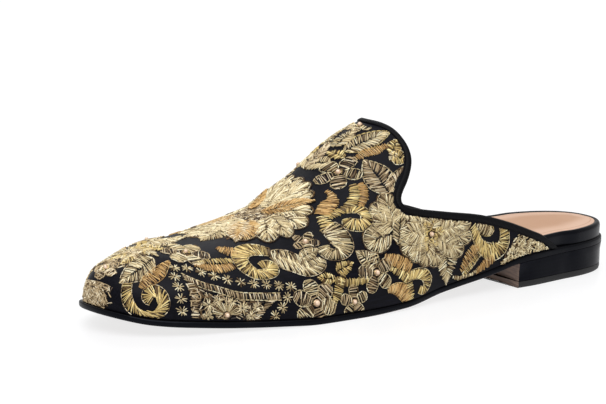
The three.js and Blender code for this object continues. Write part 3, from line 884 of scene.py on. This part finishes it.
# layout of the outer side in mm, on the unrolled skin and on the toe's own chart; the inner side mirrors it
bands = {"side": [
    ("yellow", "pale", [(216.5, 35.3, 5.5), (220.5, 37.6, 8), (225, 38.7, 9), (229.5, 36.6, 8),
                        (232.2, 32, 6.8), (232, 27, 7.3), (229.3, 22.9, 6), (224.5, 22.2, 5.3),
                        (220.5, 23.6, 6), (219.5, 26.4, 6), (221.8, 27.7, 5.5), (225, 26.9, 3)]),
    ("copper", None, [(237.5, 43, 2.5), (235.6, 40.6, 7), (233.2, 38.4, 8.5), (230.3, 37.6, 7)]),
    ("copper", None, [(255, 29, 2), (249, 27.2, 5.5), (243, 26.6, 5.5), (237, 28, 4)]),
    ("yellow", None, [(252.5, 31, 2), (247, 31.6, 4), (240, 31.6, 4.2), (235, 31.5, 3.5)]),
    ("pale", "tan", [(218, 31.5, 7), (213.5, 31, 12), (208.5, 28.4, 12), (204, 24.6, 8.5), (200, 24.2, 8),
                     (196, 25.6, 7.5), (193.8, 28, 4)]),
    ("copper", None, [(175.3, 65.3, 1.5), (174.6, 60.8, 4), (176.5, 57.3, 7), (180.5, 54.5, 8),
                      (183.2, 51.5, 7)]),
    ("yellow", None, [(183, 51, 6.5), (184, 47, 6.5), (184.2, 43.5, 8.5)]),
    ("pale", "tan", [(184, 44.5, 8.5), (181.8, 39, 11), (180, 33, 9.5), (181.7, 29.6, 7), (186, 28.5, 5.5),
                     (190.3, 30.5, 6.5), (190.6, 34.2, 6.5)]),
    ("copper", None, [(161, 62.8, 3), (161.3, 58, 4.5), (163, 53.5, 4.5), (165.5, 50.5, 3)]),
    ("yellow", None, [(164.3, 63.5, 3.5), (165, 59, 5.5), (167.5, 54.5, 5.5), (172.5, 51.4, 4.5),
                      (177.5, 50.2, 4), (181, 48.6, 3)]),
    ("yellow", "pale", [(173, 50, 2.5), (168.5, 49.7, 3.8), (165.6, 48, 4.6), (164.6, 44.3, 5.5),
                        (166.6, 41.2, 6), (170.5, 41.3, 6.5), (174, 43.3, 6.5), (174.7, 46, 3.5)]),
    ("copper", None, [(160.5, 24, 3), (156, 21.6, 6.5), (150.5, 19, 7), (146, 15.5, 6)]),
    ("yellow", None, [(158, 18, 2), (152.5, 14.5, 4.5), (147.5, 10.5, 5)]),
    ("yellow", "pale", [(148, 12, 4.5), (141.8, 12.2, 5), (136.6, 10, 5.5), (134.6, 6, 5.5), (137, 2.6, 4),
                        (140.5, 4, 3.5)]),
    ("yellow", None, [(147.5, 10, 5), (146.5, 5, 5.5), (146, .5, 4)]),
    ("pale", "yellow", [(100.5, 25.6, 3), (97.3, 23, 6.5), (93.8, 20.6, 6.5), (91, 18.6, 3)]),
    ("yellow", "pale", [(85.4, 20.3, 3), (83.6, 17, 5), (83.2, 12.4, 6.5), (85.4, 8.4, 8), (90, 8.4, 8.5),
                        (95.5, 11.3, 7), (99.3, 14.8, 5), (101.8, 19.5, 4.5), (103.8, 25, 4)]),
    ("copper", None, [(99.5, 14.4, 3.5), (104, 12, 7), (108, 8, 6.2), (111.5, 4.6, 3)]),
    ("copper", None, [(89.5, 5, 4.5), (94, 4.4, 6), (98, 2.6, 4.5), (101.5, .8, 2)]),
    ("yellow", "pale", [(98.5, 10.6, 2), (103.5, 7, 3.2), (110, 1.8, 2.5)]),
    ("pale", None, [(117, 3, 2), (111.5, 1.2, 2.4), (105, 1, 2.4), (100.5, 2.8, 1.5)]),
    ("yellow", None, [(190, 16.5, 4), (184, 14.6, 4.5), (178, 14.3, 4), (171.5, 14.5, 3)]),
    ("yellow", None, [(192.5, 6, 3.5), (189.5, 11, 5.5), (186.5, 16, 4.5), (184.5, 19.5, 3)]),
    ("copper", "copper", [(160.5, 7.6, 2), (156.5, 7.8, 5), (152.5, 6.4, 7), (149, 3, 7), (147.8, .2, 5)]),
    ("copper", None, [(157, 77, 3), (152, 78.4, 6), (146.5, 77.8, 5), (141, 78.6, 3)]),
], "toe": [
    ("yellow", "tan", [(-2.8, 3, 4.5), (-5.2, -2.5, 5), (-5, -8, 4.6), (-1.2, -12.8, 2.8), (5, -15, 3),
                       (9.6, -13, 4.6), (10.2, -8, 5.2), (8, -4.6, 5.2), (5, -4.4, 5.4), (3.6, -7, 5.4),
                       (4.8, -9, 4)], 1.02),
    ("copper", "copper", [(2.2, -1.6, 2), (6.5, .8, 6.5), (12, 3, 7.5), (16, 6, 4.5), (19, 8, 1.5)]),
]}
leaves = {"side": [
    ("pale", None, (212, 73), (240.5, 52), 17),
    ("pale", None, (216, 71), (243.5, 61), 13),
    ("tan", None, (213, 69), (227, 46.5), 12),
    ("copper", None, (202, 71.5), (182, 61.3), 10, -.6, .7),
    ("yellow", None, (262, 43.5), (270.5, 56), 8),
    ("pale", None, (262, 53), (244, 63), 10),
    ("tan", None, (268, 46), (276, 52), 7),
    ("pale", None, (256, 50), (267, 55), 7),
    ("pale", "yellow", (158.8, 84.3), (135.3, 84.8), 11.5, -1),
    ("tan", "pale", (150, 53.5), (154.6, 74.5), 14.5),
    ("tan", "pale", (149, 54.5), (136.8, 64.3), 8),
    ("yellow", "pale", (141, 73.2), (134.2, 79.3), 8),
    ("yellow", "pale", (141.5, 72), (134.3, 66.8), 8.5),
    ("pale", None, (138.5, 73), (143.2, 70), 5),
    ("pale", None, (120.3, 20.5), (121.5, .6), 13.5),
    ("pale", "tan", (166.3, 19.8), (175.3, 28.8), 8.5),
    ("yellow", None, (188.3, 20.5), (178.3, 23.5), 7.5),
    ("yellow", None, (190, 17), (199, 19), 6.5),
    ("pale", "tan", (203.5, 30.5), (193.5, 33.5), 7),
    ("pale", None, (166.5, 81.5), (172, 94), 9),
    ("yellow", None, (160.5, 80.5), (163, 90.5), 5.5),
    ("pale", None, (160, 91), (147.5, 97), 9.5),
    ("tan", None, (172, 89), (159, 96), 7),
    ("pale", None, (152, 28.5), (147.3, 46.5), 8.5, .8, .3),
    ("pale", None, (149, 43.5), (134, 38.8), 6.5),
], "toe": [
    ("pale", "tan", (12.5, 13), (-6, 5), 13.5, 1),
    ("yellow", "pale", (4.5, 18.2), (-2.6, 15.5), 5),
    ("pale", None, (8, 25), (-5, 21), 7),
    ("pale", None, (9, 20), (3, 29), 6),
]}
quarterHeart = (130.8, 28)
blooms = {"side": [
    ("pale", (200.5, 70), [(213.7, 43.3, 10.5), (203, 44.6, 10), (192.8, 48.3, 11), (186, 55.5, 9),
                           (179.8, 68, 10), (177.8, 76, 10), (178, 84, 10), (185, 89, 10)]),
    ("copper", (206, 72.5), [(225, 48, 14)]),
    ("pale", (150.5, 34.5), [(170, 32, 13.5), (161.5, 43.5, 11.5), (160.5, 50, 11), (153.5, 54.5, 10.5)]),
    ("pale", quarterHeart, [(150.5, 26, 12), (149, 34, 11), (141, 40.5, 12), (128, 37.5, 12),
                            (115.5, 33, 12), (105, 27.5, 11), (104.8, 19.5, 10), (110.5, 13.5, 11),
                            (127.5, 11.6, 11.5), (137.5, 14.3, 11.5), (146, 20.3, 11)]),
    ("yellow", quarterHeart, [(139, 27.5, 6), (134.5, 35, 6), (126.3, 34.5, 6), (122.3, 27.5, 6),
                              (127.3, 21, 6), (135.3, 21, 6)]),
]}
flowers = {"side": [
    (["tan", "pale", "pale"], "tan", (254.3, 39.2), 10.5, 6, 20, 1),
    (["tan", "pale"], "tan", (197.2, 38.9), 6.5, 5, 60, 1.2),
    (["tan", "pale"], "pale", (202.5, 7.1), 11.5, 6, 20, 1.4),
    (["tan", "pale"], "pale", (180.8, 5.1), 8, 5, 90, 1.1),
    (["tan", "pale"], "pale", (166.4, 17.1), 10, 5, 10, 1.2),
    (["tan", "pale"], "pale", (166.4, 73), 10, 5, 6, 1.2),
    (["tan", "pale"], "pale", (144, 98.5), 6.5, 5, 40, 1.1),
], "toe": [
    (["tan"], "tan", (-9.5, 16.7), 6.5, 5, 0, .9),
]}
patches = {"side": [
    ("pale", [(88, -.5), (84, 3), (80.5, 7), (75.5, 12.6), (71, 12.6), (65, 9.4), (58, 5.2), (49, 1.4),
              (48, -.5)], 1.4, 3),
], "toe": [
    ("tan", [(-25, 14), (-20, 19), (-16.8, 13), (-15, 9), (-14.4, 5.5), (-14.6, 1.5), (-15.2, -2),
             (-16.5, -5), (-24, 3)], 1.7, 2.2),
]}
fillers = [  # how full it is sewn, and an outline under the blooms
    (.05, [(243, 60), (239, 53.5), (231, 50.5), (222, 50), (214, 46), (205, 48), (196, 50), (188, 56),
           (182, 66), (180, 76), (180, 86), (187, 85), (200, 77), (215, 71), (230, 67)]),
    (.1, [(160, 52), (151, 53), (147.5, 44), (130, 38), (115, 32.5), (105.5, 28), (106.5, 20), (113, 15.5),
          (127, 13.5), (137, 16.5), (146, 22.5), (153, 28), (163, 31), (166, 36)]),
    (.45, [(226, 62), (215, 58), (206, 59), (197, 62), (190, 71), (192, 84), (200, 83), (215, 77),
           (230, 70)]),
    (.3, [(283, 30), (277, 38), (270, 44), (262, 47), (254, 48), (251, 58), (242, 62), (244, 63.5),
          (258, 58), (270, 51), (280, 42), (287, 33)]),
]
starLines = [  # line and how many stars
    ([(265.1, 27.1), (266.9, 22.1), (267, 16.4), (267.3, 10.4), (267.3, 4.3)], 5),
    ([(259.4, 26.8), (249, 22.1), (237.6, 18.6), (225, 16.8), (213.7, 15.4)], 9),
    ([(216.6, 10.4), (219.8, 5.4), (223.4, 1.8)], 3),
]
# each filler is a layer of shadow strands, painted shade, under sparse tan stitches
for density, outline in fillers:
    shadowUnderlay("side", outline, .3, 5)
    patch("side", "tan", outline, density, 3.6, .5, .2)
for make, layout in ((band, bands), (leaf, leaves), (flower, flowers), (patch, patches)):
    for chart, rows in layout.items():
        for row in rows:
            make(chart, *row)
for chart, rows in blooms.items():
    for thread, heart, tips in rows:
        for i, (t, g, width) in enumerate(tips):
            petal(chart, thread, heart, (t, g), width, .3 * (i % 2))
tipEdge = [(-20, 18), (-16.8, 13), (-15, 9), (-14.4, 5.5), (-14.6, 1.5), (-15.2, -2)]  # of the tip patch
couch("toe", softLine(tipEdge, 40), "tan", .5)
for line, count in starLines:
    for spot in softLine(line, count):
        star("side", spot, 2.9)
for chart, rows in patches.items():
    for thread, outline, *_ in rows:
        shadowUnderlay(chart, outline, .3, 4)
beadSpots.append(("side", np.array(quarterHeart), 1.1))

# fan panel: a ribbed band along the top, a ribbed column, and bursts of stitches between
panel = {"top": [(263.7, 23.6), (257.3, 19.3), (248, 16.2), (240, 13.6), (231, 12.9), (219.6, 12.6)],
         "band": 3.4, "left": 263.4, "column": 4, "right": [(230.8, 0), (226.8, 5.5), (219.2, 11.6)],
         "bead": (246.6, 2.9), "rays": 19, "clear": 1.4, "reach": (5, 8),
         "bursts": [(255, 7.5, 3.6), (255.5, 2, 3.2), (239, 6, 3.6), (232, 6.3, 3), (250, 9.5, 2.6),
                    (235, 2, 3), (243.5, 9, 2.4)]}
topEdge = softLine(panel["top"], 60)
lowEdge = topEdge - [0, panel["band"]]
ladder("side", topEdge, lowEdge, "tan", 1.15)
couch("side", topEdge, "pale", .5)
couch("side", lowEdge, "pale", .5)
column = softLine([(panel["left"], .5), (panel["left"], 9), (panel["left"], 18)], 40)
ladder("side", column, column - [panel["column"], 0], "tan", 1.1)
border = softLine(panel["right"], 40)
ladder("side", border, border + [panel["column"], 0], "tan", 1.1)
panelOutline = np.concatenate([lowEdge, panel["right"][::-1], [(panel["left"], 0)]])
shadowUnderlay("side", panelOutline, .26, 5)
patch("side", "tan", panelOutline, .4, 3, .5, .3)
for t, g, radius in panel["bursts"]:
    star("side", np.array([t, g]), radius)
    star("side", np.array([t, g]), radius * .8)
fan = directions(np.linspace(.1, math.pi - .1, panel["rays"]))
fanReach = seeded.uniform(*panel["reach"], (len(fan), 1))
addStitches("side", panel["bead"] + fan * panel["clear"], panel["bead"] + fan * fanReach, "pale", pad=.6)
beadSpots.append(("side", np.array(panel["bead"]), 1.1))
print("stitches drawn on the outer side:", sum(len(s[1]) for s in stitches))

# the toe has a flat chart of its own; stitches are cut back from the sole and the binding
toeChart = {"middle": (284, 14), "off": 25, "reach": 60, "lowest": (20, .4)}
trim = {"steps": 7, "fewest": 3, "fromSole": .1, "fromBinding": .3, "ahead": 30, "batch": 20000}


def onSide(points, side):  # chart places to places and directions on the skin
    t, g = points[..., 0], points[..., 1]
    if side == "inner":
        whole, ridge = np.interp(t, chartT, wholeGirth), np.interp(t, chartT, ridgeGirth)
        g = whole - g * (whole - ridge) / ridge
    angle = lookUp(chartAngles, t, g / np.interp(t, chartT, wholeGirth))
    return skinAt(t, angle)


def onToe(points, side):  # the toe's chart lies flat against its rounding
    middle, out = (found[0] for found in onSide(np.array([toeChart["middle"]], float), side))
    along = unit(np.array([1., 0, 0]) - out * out[0])
    up = np.cross(out, along) * (1 if side == "outer" else -1)
    flat = points.reshape(-1, 2)
    starts = middle + flat[:, :1] * along + flat[:, 1:] * up + out * toeChart["off"]
    behind, above = toeChart["lowest"]
    places, normals = np.full((len(flat), 3), np.nan), np.full((len(flat), 3), np.nan)
    for i, start in enumerate(starts):
        spot, normal, _, _ = outerTree.ray_cast(Vector(start), Vector(-out), toeChart["reach"])
        if spot is not None and spot.z > soleTop(lastTip - behind) + above:
            normal = np.array(normal)
            places[i], normals[i] = spot, normal * (1 if normal @ out > 0 else -1)
    return places.reshape(points.shape[:-1] + (3,)), normals.reshape(points.shape[:-1] + (3,))


charts = {"side": onSide, "toe": onToe}
toplines = {side: toplineOf(side)[::5] for side in bothSides}


def roomTo(places, side):  # distance from the topline into the upper, in the side view
    flat = places[..., [0, 2]].reshape(-1, 2)
    line = toplines[side]
    room = np.full(len(flat), float(last["length"]))  # plenty, far ahead of the tongue
    close = np.flatnonzero(flat[:, 0] > xAt(topline["tongueTop"]) - trim["ahead"])
    for part in np.array_split(close, max(1, len(close) // trim["batch"])):
        off = flat[part][:, None] - line[None]
        nearest = np.argmin((off ** 2).sum(-1), axis=1)
        along = unit(np.gradient(line, axis=0))[nearest]
        away = off[np.arange(len(part)), nearest]
        room[part] = along[:, 1] * away[:, 0] - along[:, 0] * away[:, 1]
    return room.reshape(places.shape[:-1])


def trimmed(chart, ends, side):  # stitches cut back from the binding and the sole
    shares = np.linspace(0, 1, trim["steps"])
    spots = ends[:, :1] + (ends[:, 1:] - ends[:, :1]) * shares[None, :, None]
    places, _ = charts[chart](spots, side)
    fits = ~np.isnan(places[..., 0])
    if chart == "side":
        room = roomTo(np.nan_to_num(places), side)
        fits &= (spots[..., 1] > trim["fromSole"]) & (room > bindingLook["width"] + trim["fromBinding"])
    kept = []
    for i in range(len(ends)):
        run = np.flatnonzero(fits[i])
        if len(run) == trim["steps"]:
            kept.append(ends[i])
        elif len(run) >= trim["fewest"] and run[-1] - run[0] == len(run) - 1:
            kept.append(spots[i, [run[0], run[-1]]])
    return np.array(kept).reshape(-1, 2, 2)


strands = {name: {"points": [], "shade": []} for name in threadLooks}
ringShares = np.array([0, .12, .5, .88, 1])
strandPoints = 11  # a tip, three rings of three, a tip
strandFaces = [[0, 2, 1], [0, 3, 2], [0, 1, 3]]
for a, b in ((1, 4), (4, 7)):
    strandFaces += [[a + i, a + (i + 1) % 3, b + (i + 1) % 3] for i in range(3)]
    strandFaces += [[a + i, b + (i + 1) % 3, b + i] for i in range(3)]
strandFaces += [[10, 7, 8], [10, 8, 9], [10, 9, 7]]
for side in bothSides:
    for chart, ends, thread, strand, pad in stitches:
        ends = trimmed(chart, ends, side)
        if not len(ends):
            continue
        spots = ends[:, :1] + (ends[:, 1:] - ends[:, :1]) * ringShares[None, :, None]
        places, normals = charts[chart](spots, side)
        good = ~np.isnan(places).any(axis=(1, 2))
        places, normals = places[good], normals[good]
        count = len(places)
        if not count:
            continue
        aside = unit(np.cross(np.gradient(places, axis=1), normals))
        width = strand * seeded.uniform(*work["thickness"], (count, 1, 1)) / 2
        raised = pad * np.array(work["arch"]) + seeded.uniform(*work["uneven"], (count, 1))
        middle = places + normals * raised[..., None]
        crown = np.minimum(width * 1.1, work["crown"])
        rings = np.stack([middle + aside * width - normals * work["sunk"], middle + normals * crown,
                          middle - aside * width - normals * work["sunk"]], 2)[:, 1:4].reshape(count, 9, 3)
        tips = places - normals * work["tipDepth"]
        strands[thread]["points"].append(np.concatenate([tips[:, :1], rings, tips[:, 4:]], 1))
        strands[thread]["shade"].append(np.clip(seeded.normal(*work["shade"], count), 0, 1))

threadMaterials = {}
for name, (dark, middle, bright) in threadLooks.items():
    material, place = newMaterial(name + "_thread", {"Specular IOR Level": .5})
    twist = place.noise(work["twist"], 2)
    shade = place.value("shade")
    low = shade.between(0, .55).mix(dark, middle)
    shine = (shade * .85 + twist * .15).between(.5, 1)
    dress(material, {"Base Color": shine.mix(low, bright), "Roughness": twist * .25 + .35,
                     "Metallic": shade * .15, "Normal": twist.bump(.3, .0001)})
    threadMaterials[name] = material

limit = 9000  # strands in one piece
for name, strand in strands.items():
    points, shade = np.concatenate(strand["points"]), np.concatenate(strand["shade"])
    for part, begin in enumerate(range(0, len(points), limit)):
        some, shades = points[begin:begin + limit], shade[begin:begin + limit]
        faces = np.array(strandFaces)[None] + np.arange(len(some))[:, None, None] * strandPoints
        addPiece(f"{name}_thread_{part + 1}", some.reshape(-1, 3), faces.reshape(-1, 3).tolist(),
                 [threadMaterials[name]], values={"shade": np.repeat(shades, strandPoints)},
                 sharp=180)

# beads in small metal cups at the flower hearts
beadLook = {"pearl": colour(228, 204, 178), "rose": colour(206, 172, 142), "cup": colour(150, 112, 56),
            "sheen": 700, "dents": 1500, "around": 16, "highest": 75, "raised": .3,
            "bead": [(.02, 1.5), (.42, 1.42), (.75, 1.17), (.92, .8), (.86, .45), (.6, .2)],
            "rim": [(.6, .2), (.95, .16), (1.18, .3), (1.22, .5), (1.05, .62), (.88, .5)]}
pearl, place = newMaterial("bead_gloss", {"Specular IOR Level": .7, "Coat Roughness": .05})
sheen = place.noise(beadLook["sheen"], 2)
dress(pearl, {"Base Color": sheen.mix(beadLook["rose"], beadLook["pearl"]), "Roughness": sheen * .15 + .08,
              "Coat Weight": sheen * .3 + .5})
cup, place = newMaterial("bead_cup", {"Specular IOR Level": .5})
dents = place.noise(beadLook["dents"], 2)
dress(cup, {"Base Color": dents.mix(beadLook["cup"], beadLook["pearl"]), "Metallic": dents * .2 + .6,
            "Roughness": dents * .2 + .25})


def turned(profile, around, closed):  # rings of a small turned form
    turns = np.arange(around) * 2 * math.pi / around
    radius, height = np.array(profile, float).T
    rings = np.stack([radius[:, None] * np.cos(turns), radius[:, None] * np.sin(turns),
                      np.repeat(height[:, None], around, 1)], -1)
    count = len(profile)
    faces = (ringQuads(count + closed, around) % (count * around)).tolist()
    if not closed:
        faces += [list(range(around))[::-1], [(count - 1) * around + j for j in range(around)]]
    return rings.reshape(-1, 3), [face[::-1] for face in faces]


for name, profile, closed, material, slot in (("beads", beadLook["bead"], False, pearl, "bead"),
                                              ("bead_cups", beadLook["rim"], True, cup, "gold_thread")):
    form, formFaces = turned(profile, beadLook["around"], closed)
    allPoints, allFaces = [], []
    for side in bothSides:
        for chart, spot, radius in beadSpots:
            places, normals = charts[chart](np.array([spot], float), side)
            if np.isnan(places).any() or (side == "inner" and places[0, 2] > beadLook["highest"]):
                continue
            out = normals[0]
            along = unit(np.array([1., 0, 0]) - out * out[0])
            aside = np.cross(out, along)
            base = len(allPoints) * len(form)
            shape = form[:, :1] * along + form[:, 1:2] * aside + form[:, 2:] * out
            allPoints.append(places[0] + out * beadLook["raised"] + radius * shape)
            allFaces += [[k + base for k in face] for face in formFaces]
    addPiece(name, np.concatenate(allPoints), allFaces, [material], sharp=60)


# floor, light and camera
stageLook = {"half": 8, "shade": (colour(112, 112, 114), colour(115, 115, 117)), "glow": .785, "world": .5,
             "clouds": 3, "paper": (colour(250, 250, 250), colour(254, 254, 254))}
half = stageLook["half"]
floorMesh = bpy.data.meshes.new("floor")
corners = [(-half, -half, 0), (half, -half, 0), (half, half, 0), (-half, half, 0)]
floorMesh.from_pydata(corners, [], [[0, 1, 2, 3]])
floor = bpy.data.objects.new("floor", floorMesh)
scene.collection.objects.link(floor)
paper, place = newMaterial("floor_paper", {
    "Specular IOR Level": .3, "Emission Strength": stageLook["glow"]})
tone = place.noise(stageLook["clouds"], 2)
dress(paper, {"Base Color": tone.mix(*stageLook["shade"]), "Emission Color": tone.mix(*stageLook["paper"]),
              "Roughness": tone * .1 + .35})
floorMesh.materials.append(paper)

world = bpy.data.worlds.new("studio")
scene.world = world
world.use_nodes = True
world.node_tree.nodes["Background"].inputs["Color"].default_value = (1, 1, 1, 1)
world.node_tree.nodes["Background"].inputs["Strength"].default_value = stageLook["world"]

lights = {"key": {"place": (-.7, -1.25, 1.25), "size": (1.2, .9), "power": 9.5},
          "rim": {"place": (.5, 1.2, 1.3), "size": (1.4, .6), "power": 6}}
lightAim = Vector((0, 0, .03))
for name, light in lights.items():
    data = bpy.data.lights.new(name, "AREA")
    data.shape, data.energy = "RECTANGLE", light["power"]
    data.size, data.size_y = light["size"]
    lamp = bpy.data.objects.new(name, data)
    lamp.location = light["place"]
    lamp.rotation_euler = (lightAim - Vector(light["place"])).to_track_quat("-Z", "Y").to_euler()
    scene.collection.objects.link(lamp)

overheadLook = {"power": 2.3, "angle": 70, "tilt": (18, -14, 0)}  # a wide even light from above
overhead = bpy.data.lights.new("overhead", "SUN")
overhead.energy, overhead.angle = overheadLook["power"], math.radians(overheadLook["angle"])
overheadLamp = bpy.data.objects.new("overhead", overhead)
overheadLamp.rotation_euler = [math.radians(tilt) for tilt in overheadLook["tilt"]]
scene.collection.objects.link(overheadLamp)

view = {"aim": (-.0197, .0148, .0457), "azimuth": -33.58, "elevation": 10.34, "distance": 1.5,
        "lens": 182, "sensor": 36}
camera = bpy.data.objects.new("camera", bpy.data.cameras.new("camera"))
camera.data.lens, camera.data.sensor_width = view["lens"], view["sensor"]
turn, rise = math.radians(view["azimuth"]), math.radians(view["elevation"])
back = Vector((math.sin(turn) * math.cos(rise), -math.cos(turn) * math.cos(rise), math.sin(rise)))
camera.location = Vector(view["aim"]) + back * view["distance"]
camera.rotation_euler = back.to_track_quat("Z", "Y").to_euler()
scene.collection.objects.link(camera)
scene.camera = camera
scene.view_settings.view_transform = "Standard"
print("stage set")
